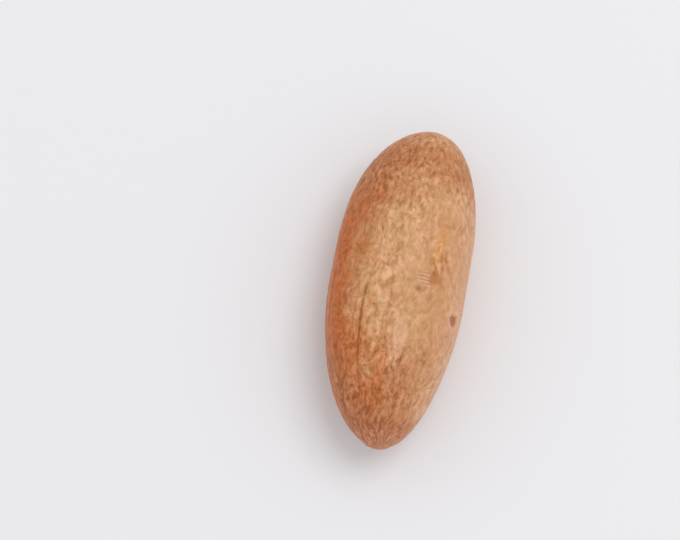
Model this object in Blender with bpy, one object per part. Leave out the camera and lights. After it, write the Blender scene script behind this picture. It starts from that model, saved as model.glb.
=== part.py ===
"""A bitter kola nut: one egg-shaped seed in its veined brown coat, lying on its flatter side.

Metres, +Z up. The origin lies on the surface that the nut rests on, under the middle of its box.
+X points to the broad end. The scar where the seed was attached is low on the narrow end, at -X.
A turn is an angle round the long axis, from +Y over the top (90 degrees) to -Y.
"""

import math
import random

import bmesh
import bpy
from mathutils import Matrix, Vector
from mathutils.kdtree import KDTree

for leftover in list(bpy.data.objects):
    bpy.data.objects.remove(leftover, do_unlink=True)

# Size of the smooth body
LENGTH = 0.0350
WIDTH = 0.0147
HEIGHT = 0.0133

# Form of the smooth body
NARROW_POWER = 1.88  # less than 2 makes the narrow end slimmer than half an ellipse
BROAD_POWER = 2.75  # more than 2 makes the broad end fuller
POWER_CHANGE = 0.45  # share of the half length over which one power eases into the other
BACK_SHARE = 0.53  # share of the height that lies above the widest level
BELLY_POWER = 2.3  # the underside is a little squarer than an ellipse
BEND = 0.0008  # how far both tips lean towards -Y
TIP_LIFT = 0.0005  # how far both tips rise above the middle
LEAN_POWER = 4  # how late along the length the tips lean and rise

# Flat spot that the nut rests on
SEAT_DEPTH = 0.00016
SEAT_SNAP = 0.00001  # a point that lies nearer than this to its level is moved onto it
SEAT_FADE = 0.0009  # how high above it the relief of the coat is whole again

# Broad swells of the body: height, how many round the body, how much they slant, and phase
SWELLS = (
    (0.00013, 3, 1.4, 0.6),
    (0.00009, 5, -2.2, 2.1),
    (0.00006, 9, 3.1, 4.0),
)

# Keel, a low ridge on the -Y flank where the seed lay against the next one in its fruit
KEEL_HEIGHT = 0.00020
KEEL_TURN = math.radians(163)
KEEL_SLANT = math.radians(12)
KEEL_SPREAD = math.radians(9)
KEEL_FROM = -0.25
KEEL_TO = 0.95

# Branched furrows of the coat, which spread from the scar and meet again near the broad end
VEIN_SEED = 29
VEIN_COUNT = 17
VEIN_STEP = 0.012  # angle along the body between two points of a vein
VEIN_SHIFT = 0.25  # how far a vein is off its even place, as a share of the gap to the next one
VEIN_STARTS = (0.12, 0.45)  # nearest and farthest start of a vein, as angles from the scar
VEIN_ENDS = (2.2, 2.95)
VEIN_WAVES = (  # heights and counts of the three waves that a vein is made of, from low to high
    ((0.05, 0.12), (1.2, 2.4)),
    ((0.02, 0.04), (4, 7)),
    ((0.006, 0.014), (11, 17)),
)
VEIN_FADES = (2.5, 5)  # how fast a vein grows faint and strong again on its way
VEIN_DEPTH = 0.00011
VEIN_SPREAD = 0.00045
VEIN_RISE = 0.25  # angle over which a vein reaches its full depth
VEIN_TAIL = 0.6  # angle over which it grows faint again at its other end
VEIN_TAIL_SHARE = 0.35
VEIN_FAINTEST = 0.3  # share of its depth that is left where a vein grows faint on its way
BRANCHES_EACH = (2, 4)  # fewest and most side veins that leave a main vein
BRANCH_STARTS = (0.35, 2.3)
BRANCH_LENGTHS = (0.35, 0.85)
BRANCH_WAYS = (1.0, 1.0, 0.55)  # share of the way to the next vein: two in three reach it
BRANCH_SHARE = 0.7  # depth of a side vein as a share of a main vein's

# The one deep furrow, on the +Y side of the top in the narrow half
DEEP_TURN = math.radians(66)
DEEP_WAVE = (0.034, 3.1, -0.83)
DEEP_FROM = 1.16
DEEP_TO = 1.85
DEEP_EASE = 0.2
DEEP_SHARE = 1.9  # how much deeper it is than the others

# Scar where the seed was attached: a round dent with a low rim. Its flat floor, and the place and
# spread of the rim, are shares of its radius.
SCAR_TILT = math.radians(17)
SCAR_RADIUS = 0.0013
SCAR_DEPTH = 0.00035
SCAR_FLOOR = 0.3
SCAR_RIM = 0.00014
SCAR_RIM_PLACE = 1.1
SCAR_RIM_SPREAD = 0.28

# Small pits of the coat: place along the length from -1 to 1, turn, half length along the body,
# half width round it, and depth. The taper is how much wider than its middle a pit is at its +X
# end, and how much narrower at its other end. The flat floor of a pit, and the place and spread of
# its rim, are shares of its own size, and the height of the rim is a share of its depth.
PITS = (
    (-0.184, math.radians(151), 0.00076, 0.00098, 0.00028),
    (-0.062, math.radians(108), 0.00032, 0.00030, 0.00012),
    (0.286, math.radians(143), 0.00030, 0.00036, 0.00010),
)
PIT_TAPER = 0.45
PIT_FLOOR = 0.40
PIT_RIM = 0.25
PIT_RIM_PLACE = 1.2
PIT_RIM_SPREAD = 0.3

# Cells of the mesh along the body and across it, and how far finer cells reach round the deep
# furrow, the scar and the pits, where they are halved twice
CELLS_ALONG = 46
CELLS_ACROSS = 21
FINE_ROUND_FURROW = 0.0009
FINE_ROUND_SCAR = 0.00195
FINE_ROUND_PITS = (0.0013, 0.0008)

COAT_COLOUR = (0.53, 0.25, 0.12, 1.0)
COAT_ROUGHNESS = 0.6


def ease(low, high, value):
    """0 below low, 1 above high, and a smooth change between."""
    share = min(max((value - low) / (high - low), 0.0), 1.0)
    return share * share * (3 - 2 * share)


def body_point(direction):
    """Where a direction from the middle of the body meets its smooth skin."""
    along = direction.x
    change = ease(-POWER_CHANGE, POWER_CHANGE, along)
    power = NARROW_POWER + (BROAD_POWER - NARROW_POWER) * change
    ring = math.sqrt(max(1 - abs(along) ** power, 0.0))
    across = math.hypot(direction.y, direction.z) or 1.0
    side, up = direction.y / across, direction.z / across
    half_height = HEIGHT * BACK_SHARE
    if up < 0:
        square = (abs(side) ** BELLY_POWER + abs(up) ** BELLY_POWER) ** (1 / BELLY_POWER)
        side, up = side / square, up / square
        half_height = HEIGHT - half_height
    lean = abs(along) ** LEAN_POWER
    return Vector(
        (
            along * LENGTH / 2,
            side * ring * WIDTH / 2 - BEND * lean,
            up * ring * half_height + TIP_LIFT * lean,
        )
    )


def swell(direction):
    """Height of the broad swells, which fade out towards both tips."""
    across = direction.y**2 + direction.z**2
    turn = math.atan2(direction.z, direction.y)
    return sum(
        height * across * math.sin(count * turn + slant * direction.x + phase)
        for height, count, slant, phase in SWELLS
    )


def keel(direction):
    """Height of the keel, which fades out at both of its ends."""
    turn = math.atan2(direction.z, direction.y) % math.tau
    offset = turn - KEEL_TURN - KEEL_SLANT * direction.x
    middle = (KEEL_FROM + KEEL_TO) / 2
    reach = ease(KEEL_FROM, middle, direction.x) * (1 - ease(middle, KEEL_TO, direction.x))
    return KEEL_HEIGHT * reach * math.exp(-((offset / KEEL_SPREAD) ** 2))


def vein_turn(vein, reach):
    """Turn of a main vein at an angle from the scar."""
    return vein["turn"] + sum(
        height * math.sin(count * reach + phase) for height, count, phase in vein["waves"]
    )


def vein_direction(reach, turn):
    """Direction from the middle of the body. The scar, which all veins leave, is tilted down."""
    straight = Vector(
        (-math.cos(reach), math.sin(reach) * math.cos(turn), math.sin(reach) * math.sin(turn))
    )
    return Matrix.Rotation(-SCAR_TILT, 3, "Y") @ straight


def main_veins(chance):
    """The veins that run lengthwise, spread round the body a little unevenly from the deep one."""
    veins = []
    for index in range(VEIN_COUNT):
        place = index + chance.uniform(-VEIN_SHIFT, VEIN_SHIFT)
        veins.append(
            {
                "turn": DEEP_TURN + math.tau * place / VEIN_COUNT,
                "start": chance.uniform(*VEIN_STARTS),
                "end": chance.uniform(*VEIN_ENDS),
                "waves": [
                    (chance.uniform(*heights), chance.uniform(*counts), chance.uniform(0, math.tau))
                    for heights, counts in VEIN_WAVES
                ],
                "fade": (chance.uniform(*VEIN_FADES), chance.uniform(0, math.tau)),
            }
        )
    veins[0]["turn"] = DEEP_TURN
    veins[0]["waves"][0] = DEEP_WAVE
    return veins


def branches(chance, veins):
    """Side veins. Each leaves a main vein, slants towards the next one and joins it or fades."""
    found = []
    for index, vein in enumerate(veins):
        for _ in range(chance.randint(*BRANCHES_EACH)):
            start = chance.uniform(*BRANCH_STARTS)
            found.append(
                {
                    "from": vein,
                    "to": veins[(index + chance.choice((-1, 1))) % len(veins)],
                    "start": start,
                    "end": start + chance.uniform(*BRANCH_LENGTHS),
                    "share": chance.choice(BRANCH_WAYS),
                }
            )
    return found


def main_vein_points(vein, deep):
    """Direction and strength of each point of a main vein."""
    points = []
    for step in range(int((vein["end"] - vein["start"]) / VEIN_STEP)):
        reach = vein["start"] + step * VEIN_STEP
        strength = ease(vein["start"], vein["start"] + VEIN_RISE, reach)
        tail = ease(vein["end"] - VEIN_TAIL, vein["end"], reach)
        strength *= 1 - (1 - VEIN_TAIL_SHARE) * tail
        if deep:
            rise = ease(DEEP_FROM, DEEP_FROM + DEEP_EASE, reach)
            fall = ease(DEEP_TO - DEEP_EASE, DEEP_TO, reach)
            strength *= 1 + (DEEP_SHARE - 1) * rise * (1 - fall)
        else:
            count, phase = vein["fade"]
            strength *= VEIN_FAINTEST + (1 - VEIN_FAINTEST) * math.sin(count * reach + phase) ** 2
        points.append((vein_direction(reach, vein_turn(vein, reach)), strength))
    return points


def branch_points(branch):
    """Direction and strength of each point of a side vein."""
    points = []
    length = branch["end"] - branch["start"]
    for step in range(int(length / VEIN_STEP)):
        reach = branch["start"] + step * VEIN_STEP
        way = step * VEIN_STEP / length
        here = vein_turn(branch["from"], reach)
        there = vein_turn(branch["to"], reach)
        gap = (there - here + math.pi) % math.tau - math.pi
        turn = here + gap * branch["share"] * ease(0, 1, way)
        strength = BRANCH_SHARE if branch["share"] == 1 else BRANCH_SHARE * (1 - way)
        points.append((vein_direction(reach, turn), strength))
    return points


def all_vein_points():
    """Every point of the veins, and of those the ones where the deep furrow is."""
    chance = random.Random(VEIN_SEED)
    veins = main_veins(chance)
    deep_vein = main_vein_points(veins[0], deep=True)
    points = list(deep_vein)
    for vein in veins[1:]:
        points.extend(main_vein_points(vein, deep=False))
    for branch in branches(chance, veins):
        points.extend(branch_points(branch))
    return points, [point for point in deep_vein if point[1] > 1]


def pit_direction(along, turn):
    """Direction from the middle of the body at a place along it and a turn."""
    across = math.sqrt(1 - along**2)
    return Vector((along, across * math.cos(turn), across * math.sin(turn)))


def nearest_tree(points):
    """A search tree over points, which says which of them is nearest."""
    tree = KDTree(len(points))
    for index, point in enumerate(points):
        tree.insert(point, index)
    tree.balance()
    return tree


def box_direction(place):
    """Direction for a place on the box of cells, so that the cells come out evenly wide."""
    return Vector([math.tan(value * math.pi / 4) for value in place]).normalized()


def unit_box():
    """A box of even cells, as many as the body needs along its length and round it."""
    mesh = bmesh.new()
    bmesh.ops.create_cube(mesh, size=2)
    for axis, cells in enumerate((CELLS_ALONG, CELLS_ACROSS, CELLS_ACROSS)):
        edges = [e for e in mesh.edges if abs(e.verts[0].co[axis] - e.verts[1].co[axis]) > 0.001]
        bmesh.ops.subdivide_edges(mesh, edges=edges, cuts=cells - 1, use_grid_fill=True)
    return mesh


def make_finer(mesh, points, distance):
    """Halves the cells of the box that will lie that near to one of the points on the body."""
    tree = nearest_tree(points)
    edges = []
    for edge in mesh.edges:
        middle = (edge.verts[0].co + edge.verts[1].co) / 2
        if tree.find(body_point(box_direction(middle)))[2] < distance:
            edges.append(edge)
    bmesh.ops.subdivide_edges(mesh, edges=edges, cuts=1, use_grid_fill=True)


def scar_height(point, scar):
    """Height round the scar: a shallow round dent with a low rim."""
    away = (point - scar).length / SCAR_RADIUS
    rim = math.exp(-(((away - SCAR_RIM_PLACE) / SCAR_RIM_SPREAD) ** 2))
    return SCAR_RIM * rim - SCAR_DEPTH * (1 - ease(SCAR_FLOOR, 1.0, away))


def pit_height(point, pits):
    """Height in and round the pits: egg-shaped dents with a soft edge and a low rim."""
    height = 0.0
    for middle, half_length, half_width, depth in pits:
        offset = point - middle
        far_along = offset.x / half_length
        width_here = half_width * (1 + PIT_TAPER * min(max(far_along, -1.0), 1.0))
        away = math.hypot(far_along, math.hypot(offset.y, offset.z) / width_here)
        rim = math.exp(-(((away - PIT_RIM_PLACE) / PIT_RIM_SPREAD) ** 2))
        height += depth * (PIT_RIM * rim - (1 - ease(PIT_FLOOR, 1.0, away)))
    return height


def shape_seed(mesh):
    """Rounds the box into the body and lays the relief of the coat on it."""
    veins, deep = all_vein_points()
    scar = body_point(vein_direction(0, 0))
    pits = [(body_point(pit_direction(along, turn)), *sizes) for along, turn, *sizes in PITS]
    make_finer(mesh, [body_point(direction) for direction, _ in deep], FINE_ROUND_FURROW)
    make_finer(mesh, [scar], FINE_ROUND_SCAR)
    for distance in FINE_ROUND_PITS:
        make_finer(mesh, [pit[0] for pit in pits], distance)
    directions = [box_direction(vert.co) for vert in mesh.verts]
    for vert, direction in zip(mesh.verts, directions):
        vert.co = body_point(direction)
    mesh.normal_update()
    tree = nearest_tree([body_point(direction) for direction, _ in veins])
    seat_level = -HEIGHT * (1 - BACK_SHARE) + SEAT_DEPTH
    heights = []
    for vert, direction in zip(mesh.verts, directions):
        _, index, distance = tree.find(vert.co)
        furrow = VEIN_DEPTH * veins[index][1] * math.exp(-((distance / VEIN_SPREAD) ** 2))
        relief = keel(direction) - furrow + scar_height(vert.co, scar) + pit_height(vert.co, pits)
        heights.append(swell(direction) + relief * ease(0, SEAT_FADE, vert.co.z - seat_level))
    for vert, height in zip(mesh.verts, heights):
        vert.co += vert.normal * height


def cut_seat(mesh):
    """Takes the lowest part off the underside, so that the nut lies still on a flat spot."""
    level = min(vert.co.z for vert in mesh.verts) + SEAT_DEPTH
    bmesh.ops.bisect_plane(
        mesh,
        geom=mesh.verts[:] + mesh.edges[:] + mesh.faces[:],
        dist=SEAT_SNAP,
        plane_co=(0, 0, level),
        plane_no=(0, 0, -1),
        clear_outer=True,
    )
    rim = [edge for edge in mesh.edges if edge.is_boundary]
    for edge in rim:
        for vert in edge.verts:
            vert.co.z = level
    bmesh.ops.holes_fill(mesh, edges=rim)


def stand_on_origin(mesh):
    """Moves the mesh so that the origin is under the middle of its box, on its lowest level."""
    lows = [min(vert.co[axis] for vert in mesh.verts) for axis in range(3)]
    highs = [max(vert.co[axis] for vert in mesh.verts) for axis in range(3)]
    middle = Vector(((lows[0] + highs[0]) / 2, (lows[1] + highs[1]) / 2, lows[2]))
    bmesh.ops.translate(mesh, verts=mesh.verts, vec=-middle)


def coat_material():
    """Dry seed coat: matt brown with no metal in it."""
    material = bpy.data.materials.new("seed_coat")
    material.use_nodes = True
    shader = material.node_tree.nodes["Principled BSDF"]
    shader.inputs["Base Color"].default_value = COAT_COLOUR
    shader.inputs["Roughness"].default_value = COAT_ROUGHNESS
    shader.inputs["Metallic"].default_value = 0.0
    return material


def make_nut():
    """The whole nut as one solid."""
    mesh = unit_box()
    shape_seed(mesh)
    cut_seat(mesh)
    stand_on_origin(mesh)
    bmesh.ops.recalc_face_normals(mesh, faces=mesh.faces)
    data = bpy.data.meshes.new("nut")
    mesh.to_mesh(data)
    mesh.free()
    data.materials.append(coat_material())
    data.shade_smooth()
    seat = min(data.polygons, key=lambda face: face.center.z)
    seat.use_smooth = False
    nut = bpy.data.objects.new("nut", data)
    bpy.context.scene.collection.objects.link(nut)


make_nut()
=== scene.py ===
import math
import random

import bpy
from mathutils import Matrix, Vector


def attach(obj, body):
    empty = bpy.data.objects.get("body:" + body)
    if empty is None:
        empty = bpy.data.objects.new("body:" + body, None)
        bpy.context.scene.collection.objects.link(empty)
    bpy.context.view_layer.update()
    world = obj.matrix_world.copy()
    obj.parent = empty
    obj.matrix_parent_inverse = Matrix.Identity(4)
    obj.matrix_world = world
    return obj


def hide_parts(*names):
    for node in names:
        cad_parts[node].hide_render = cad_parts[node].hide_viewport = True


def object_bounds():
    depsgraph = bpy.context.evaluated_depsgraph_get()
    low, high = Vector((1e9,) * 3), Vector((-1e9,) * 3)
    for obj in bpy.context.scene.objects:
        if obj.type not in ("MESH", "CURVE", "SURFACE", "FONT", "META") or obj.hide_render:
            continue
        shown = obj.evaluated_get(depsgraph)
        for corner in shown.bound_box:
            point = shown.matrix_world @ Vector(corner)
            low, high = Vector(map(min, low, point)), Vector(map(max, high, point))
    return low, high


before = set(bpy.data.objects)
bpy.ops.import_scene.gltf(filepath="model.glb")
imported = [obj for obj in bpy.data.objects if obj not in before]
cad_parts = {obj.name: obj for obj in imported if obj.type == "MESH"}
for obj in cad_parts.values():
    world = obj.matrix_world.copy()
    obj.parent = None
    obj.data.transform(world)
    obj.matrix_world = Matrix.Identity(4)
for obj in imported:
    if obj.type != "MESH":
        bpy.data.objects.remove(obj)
cad_box = [list(corner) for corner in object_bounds()]


# The nut's coat
# One seed, dried whole. Its thin papery coat sits tight on the kernel and follows it everywhere.
# The coat grew on the seed: branching veins sank into it as furrows, and as it dried it wrinkled
# lengthwise and its fibres stood out pale. The colours of these marks are partly the coat's own and
# partly painted light and shade of their relief.

# Size of the smooth body. +X points to its broad end and +Z to its top. Seen from above with the
# broad end up, +Y is its left side. A place along it goes from -1 at the narrow end to 1 at the
# broad one. A turn is an angle round it, from +Y over the top (90 degrees) to -Y.
LENGTH = 0.0350
WIDTH = 0.0147
HEIGHT = 0.0133

# Form of the smooth body
NARROW_POWER = 1.88  # less than 2 makes the narrow end slimmer than half an ellipse
BROAD_POWER = 2.75  # more than 2 makes the broad end fuller
POWER_CHANGE = 0.45  # share of the half length over which one power eases into the other
BACK_SHARE = 0.53  # share of the height that lies above the widest level
BELLY_POWER = 2.3  # the underside is a little squarer than an ellipse
BEND = 0.0008  # how far both tips lean towards -Y
TIP_LIFT = 0.0005  # how far both tips rise above the middle
LEAN_POWER = 4  # how late along the length the tips lean and rise

# Flat spot that the nut rests on
SEAT_DEPTH = 0.00016
SEAT_FADE = 0.0009  # how high above it the relief of the coat is whole again

# Broad swells of the body: height, how many round the body, how much they slant, and phase
SWELLS = (
    (0.00013, 3, 1.4, 0.6),
    (0.00009, 5, -2.2, 2.1),
    (0.00006, 9, 3.1, 4.0),
)

# Keel, a low ridge on the -Y flank where the seed lay against the next one in its fruit
KEEL_HEIGHT = 0.00020
KEEL_TURN = math.radians(163)
KEEL_SLANT = math.radians(12)
KEEL_SPREAD = math.radians(9)
KEEL_FROM = -0.25
KEEL_TO = 0.95

# Branched furrows of the coat, which spread from the scar and meet again near the broad end
VEIN_SEED = 29
VEIN_COUNT = 17
VEIN_STEP = 0.012  # angle along the body between two points of a vein
VEIN_SHIFT = 0.25  # how far a vein is off its even place, as a share of the gap to the next one
VEIN_STARTS = (0.12, 0.45)  # nearest and farthest start of a vein, as angles from the scar
VEIN_ENDS = (2.2, 2.95)
VEIN_WAVES = (  # heights and counts of the three waves that a vein is made of, from low to high
    ((0.05, 0.12), (1.2, 2.4)),
    ((0.02, 0.04), (4, 7)),
    ((0.006, 0.014), (11, 17)),
)
VEIN_FADES = (2.5, 5)  # how fast a vein grows faint and strong again on its way
VEIN_DEPTH = 0.00006
VEIN_SPREAD = 0.00018
VEIN_RISE = 0.25  # angle over which a vein reaches its full depth
VEIN_TAIL = 0.6  # angle over which it grows faint again at its other end
VEIN_TAIL_SHARE = 0.35
VEIN_FAINTEST = 0.3  # share of its depth that is left where a vein grows faint on its way
BRANCHES_EACH = (2, 4)  # fewest and most side veins that leave a main vein
BRANCH_STARTS = (0.35, 2.3)
BRANCH_LENGTHS = (0.35, 0.85)
BRANCH_WAYS = (1.0, 1.0, 0.55)  # share of the way to the next vein: two in three reach it
BRANCH_SHARE = 0.7  # depth of a side vein as a share of a main vein's
LIP_HEIGHT = 0.000015  # low lips run along both sides of each furrow
LIP_AWAY = 0.00050

# The one deep furrow, on the +Y side of the top in the narrow half
DEEP_TURN = math.radians(66)
DEEP_WAVE = (0.034, 3.1, -0.83)  # height, count and phase of its longest wave
DEEP_FROM = 1.16  # angles from the scar between which it is deep
DEEP_TO = 1.85
DEEP_EASE = 0.2  # angle over which it deepens at each end
DEEP_SHARE = 1.9  # how much deeper it is than the others

# Short creases: place along the nut and turn in degrees of both ends, and strength
CREASES = (
    ((-0.38, 108), (-0.60, 103), 1.5),
    ((-0.34, 113), (-0.49, 137), 1.3),
    ((-0.44, 128), (-0.50, 118), 1.0),
    ((0.44, 66), (0.28, 60), 1.2),
    ((0.62, 84), (0.48, 92), 1.0),
)
CREASE_STEPS = 20

# Scar where the seed was attached: a round dent with a low rim. Its flat floor, and the place and
# spread of the rim, are shares of its radius.
SCAR_TILT = math.radians(17)
SCAR_RADIUS = 0.0013
SCAR_DEPTH = 0.00035
SCAR_FLOOR = 0.3
SCAR_RIM = 0.00014
SCAR_RIM_PLACE = 1.1
SCAR_RIM_SPREAD = 0.28

# Small pits of the coat: place along the nut, turn, half length along the body, half width round
# it, and depth. The taper is how much wider than its middle a pit is at its +X end, and how much
# narrower at its other end. The flat floor of a pit, and the place and spread of its rim, are
# shares of its own size, and the height of the rim is a share of its depth.
PITS = (
    (-0.184, math.radians(151), 0.00076, 0.00098, 0.00028),
    (-0.062, math.radians(108), 0.00032, 0.00030, 0.00012),
    (0.286, math.radians(143), 0.00030, 0.00036, 0.00010),
)
DEEPEST_PIT = max(depth for *_, depth in PITS)
PIT_TAPER = 0.45
PIT_FLOOR = 0.40
PIT_RIM = 0.25
PIT_RIM_PLACE = 1.2
PIT_RIM_SPREAD = 0.3


def ease(low, high, value):
    """0 below low, 1 above high, and a smooth change between."""
    share = min(max((value - low) / (high - low), 0.0), 1.0)
    return share * share * (3 - 2 * share)


def place_direction(along, turn):
    """Direction from the middle of the nut at a place along it and a turn."""
    across = math.sqrt(1 - along**2)
    return Vector((along, across * math.cos(turn), across * math.sin(turn)))


def vein_turn(vein, reach):
    """Turn of a main vein at an angle from the scar."""
    return vein["turn"] + sum(
        height * math.sin(count * reach + phase) for height, count, phase in vein["waves"]
    )


def vein_direction(reach, turn):
    """Direction from the middle of the nut. The scar, which all veins leave, is tilted down."""
    straight = Vector(
        (-math.cos(reach), math.sin(reach) * math.cos(turn), math.sin(reach) * math.sin(turn))
    )
    return Matrix.Rotation(-SCAR_TILT, 3, "Y") @ straight


def main_veins(chance):
    """The veins that run lengthwise, spread round the nut a little unevenly from the deep one."""
    veins = []
    for index in range(VEIN_COUNT):
        place = index + chance.uniform(-VEIN_SHIFT, VEIN_SHIFT)
        veins.append(
            {
                "turn": DEEP_TURN + math.tau * place / VEIN_COUNT,
                "start": chance.uniform(*VEIN_STARTS),
                "end": chance.uniform(*VEIN_ENDS),
                "waves": [
                    (chance.uniform(*heights), chance.uniform(*counts), chance.uniform(0, math.tau))
                    for heights, counts in VEIN_WAVES
                ],
                "fade": (chance.uniform(*VEIN_FADES), chance.uniform(0, math.tau)),
            }
        )
    veins[0]["turn"] = DEEP_TURN
    veins[0]["waves"][0] = DEEP_WAVE
    return veins


def branches(chance, veins):
    """Side veins. Each leaves a main vein, slants towards the next one and joins it or fades."""
    found = []
    for index, vein in enumerate(veins):
        for _ in range(chance.randint(*BRANCHES_EACH)):
            start = chance.uniform(*BRANCH_STARTS)
            found.append(
                {
                    "from": vein,
                    "to": veins[(index + chance.choice((-1, 1))) % len(veins)],
                    "start": start,
                    "end": start + chance.uniform(*BRANCH_LENGTHS),
                    "share": chance.choice(BRANCH_WAYS),
                }
            )
    return found


def main_vein_line(vein, deep):
    """Direction and strength of each point of a main vein."""
    line = []
    for step in range(int((vein["end"] - vein["start"]) / VEIN_STEP)):
        reach = vein["start"] + step * VEIN_STEP
        strength = ease(vein["start"], vein["start"] + VEIN_RISE, reach)
        tail = ease(vein["end"] - VEIN_TAIL, vein["end"], reach)
        strength *= 1 - (1 - VEIN_TAIL_SHARE) * tail
        if deep:
            rise = ease(DEEP_FROM, DEEP_FROM + DEEP_EASE, reach)
            fall = ease(DEEP_TO - DEEP_EASE, DEEP_TO, reach)
            strength *= 1 + (DEEP_SHARE - 1) * rise * (1 - fall)
        else:
            count, phase = vein["fade"]
            strength *= VEIN_FAINTEST + (1 - VEIN_FAINTEST) * math.sin(count * reach + phase) ** 2
        line.append((vein_direction(reach, vein_turn(vein, reach)), strength))
    return line


def branch_line(branch):
    """Direction and strength of each point of a side vein."""
    line = []
    length = branch["end"] - branch["start"]
    for step in range(int(length / VEIN_STEP)):
        reach = branch["start"] + step * VEIN_STEP
        way = step * VEIN_STEP / length
        here = vein_turn(branch["from"], reach)
        there = vein_turn(branch["to"], reach)
        gap = (there - here + math.pi) % math.tau - math.pi
        turn = here + gap * branch["share"] * ease(0, 1, way)
        strength = BRANCH_SHARE if branch["share"] == 1 else BRANCH_SHARE * (1 - way)
        line.append((vein_direction(reach, turn), strength))
    return line


def crease_line(crease):
    """Direction and strength of each point of a short crease, which fades out at both ends."""
    line = []
    (from_along, from_turn), (to_along, to_turn), strength = crease
    for step in range(CREASE_STEPS + 1):
        way = step / CREASE_STEPS
        along = from_along + (to_along - from_along) * way
        turn = math.radians(from_turn + (to_turn - from_turn) * way)
        line.append((place_direction(along, turn), strength * math.sin(math.pi * way)))
    return line


def vein_lines():
    """Every vein and crease as a row of directions from the middle of the nut, with strengths."""
    chance = random.Random(VEIN_SEED)
    veins = main_veins(chance)
    lines = [main_vein_line(vein, deep=vein is veins[0]) for vein in veins]
    lines.extend(branch_line(branch) for branch in branches(chance, veins))
    lines.extend(crease_line(crease) for crease in CREASES)
    return lines


def lines_object(name, lines):
    """An object of loose edges along the lines, with the strength kept at each point."""
    points = []
    strengths = []
    edges = []
    for line in lines:
        first = len(points)
        points.extend(direction for direction, _ in line)
        strengths.extend(strength for _, strength in line)
        edges.extend((index, index + 1) for index in range(first, len(points) - 1))
    mesh = bpy.data.meshes.new(name)
    mesh.from_pydata(points, edges, [])
    mesh.attributes.new("strength", "FLOAT", "POINT").data.foreach_set("value", strengths)
    lines_made = bpy.data.objects.new(name, mesh)
    bpy.context.scene.collection.objects.link(lines_made)
    return lines_made


def add_node(tree, kind, inputs=(), **settings):
    """Adds a node, sets its settings, and links each input or gives it its value."""
    made = tree.nodes.new(kind)
    for name, value in settings.items():
        setattr(made, name, value)
    for name, value in dict(inputs).items():
        if isinstance(value, Field):
            tree.links.new(value.socket, made.inputs[name])
        else:
            made.inputs[name].default_value = value
    return made


class Field:
    """A value that a node gives at each point. Sums written with it add the nodes that do them."""

    def __init__(self, socket):
        self.socket = socket
        self.tree = socket.id_data

    def sum(self, operation, *values):
        made = add_node(self.tree, "ShaderNodeMath", enumerate(values), operation=operation)
        return Field(made.outputs[0])

    def __add__(self, other):
        return self.sum("ADD", self, other)

    def __radd__(self, other):
        return self.sum("ADD", other, self)

    def __sub__(self, other):
        return self.sum("SUBTRACT", self, other)

    def __rsub__(self, other):
        return self.sum("SUBTRACT", other, self)

    def __mul__(self, other):
        return self.sum("MULTIPLY", self, other)

    def __rmul__(self, other):
        return self.sum("MULTIPLY", other, self)

    def __truediv__(self, other):
        return self.sum("DIVIDE", self, other)

    def __rtruediv__(self, other):
        return self.sum("DIVIDE", other, self)

    def __pow__(self, other):
        return self.sum("POWER", self, other)

    def __neg__(self):
        return self.sum("MULTIPLY", self, -1.0)

    def absolute(self):
        return self.sum("ABSOLUTE", self)

    def root(self):
        return self.sum("SQRT", self)

    def sine(self):
        return self.sum("SINE", self)

    def tangent(self):
        return self.sum("TANGENT", self)

    def arcsine(self):
        return self.sum("ARCSINE", self)

    def angle_from(self, other):
        """Angle whose tangent is this value over the other one."""
        return self.sum("ARCTAN2", self, other)

    def at_least(self, other):
        return self.sum("MAXIMUM", self, other)

    def at_most(self, other):
        return self.sum("MINIMUM", self, other)

    def above(self, other):
        """1 where the value is more than the other."""
        return self.sum("GREATER_THAN", self, other)

    def below(self, other):
        """1 where the value is less than the other."""
        return self.sum("LESS_THAN", self, other)

    def hill(self):
        """1 where the value is 0, falling to nothing by about 2 on both sides."""
        return self.sum("EXPONENT", -(self * self))

    def eased(self, low, high):
        """0 below low, 1 above high, and a smooth change between."""
        made = add_node(
            self.tree,
            "ShaderNodeMapRange",
            {"Value": self, "From Min": low, "From Max": high},
            interpolation_type="SMOOTHSTEP",
        )
        return Field(made.outputs["Result"])

    def toward(self, other, share):
        """This value where the share is 0, the other one where it is 1."""
        return self + (other - self) * share

    def ragged(self, noise, amount):
        """The value moved up and down by a noise, which makes an edge drawn from it uneven."""
        return self + (noise - 0.5) * amount

    def parts(self):
        """The three numbers of a vector."""
        made = add_node(self.tree, "ShaderNodeSeparateXYZ", {0: self})
        return [Field(part) for part in made.outputs]

    def vector_sum(self, operation, *values, output="Vector"):
        made = add_node(self.tree, "ShaderNodeVectorMath", enumerate(values), operation=operation)
        return Field(made.outputs[output])

    def unit(self):
        return self.vector_sum("NORMALIZE", self)

    def moved(self, other):
        return self.vector_sum("ADD", self, other)

    def less(self, other):
        return self.vector_sum("SUBTRACT", self, other)

    def times(self, other):
        return self.vector_sum("MULTIPLY", self, other)

    def over(self, other):
        return self.vector_sum("DIVIDE", self, other)

    def distance(self, other):
        return self.vector_sum("DISTANCE", self, other, output="Value")

    def scaled(self, factor):
        made = add_node(
            self.tree, "ShaderNodeVectorMath", {0: self, "Scale": factor}, operation="SCALE"
        )
        return Field(made.outputs["Vector"])

    def noise(self, scale, detail=2.0, roughness=0.6):
        """Soft random values between 0 and 1, in spots of about one over the scale."""
        made = add_node(
            self.tree,
            "ShaderNodeTexNoise",
            {"Vector": self, "Scale": scale, "Detail": detail, "Roughness": roughness},
        )
        return Field(made.outputs[0])

    def noise_vector(self, scale, detail):
        """Three soft random values between 0 and 1, as a vector."""
        made = add_node(
            self.tree, "ShaderNodeTexNoise", {"Vector": self, "Scale": scale, "Detail": detail}
        )
        return Field(made.outputs[1])


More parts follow.
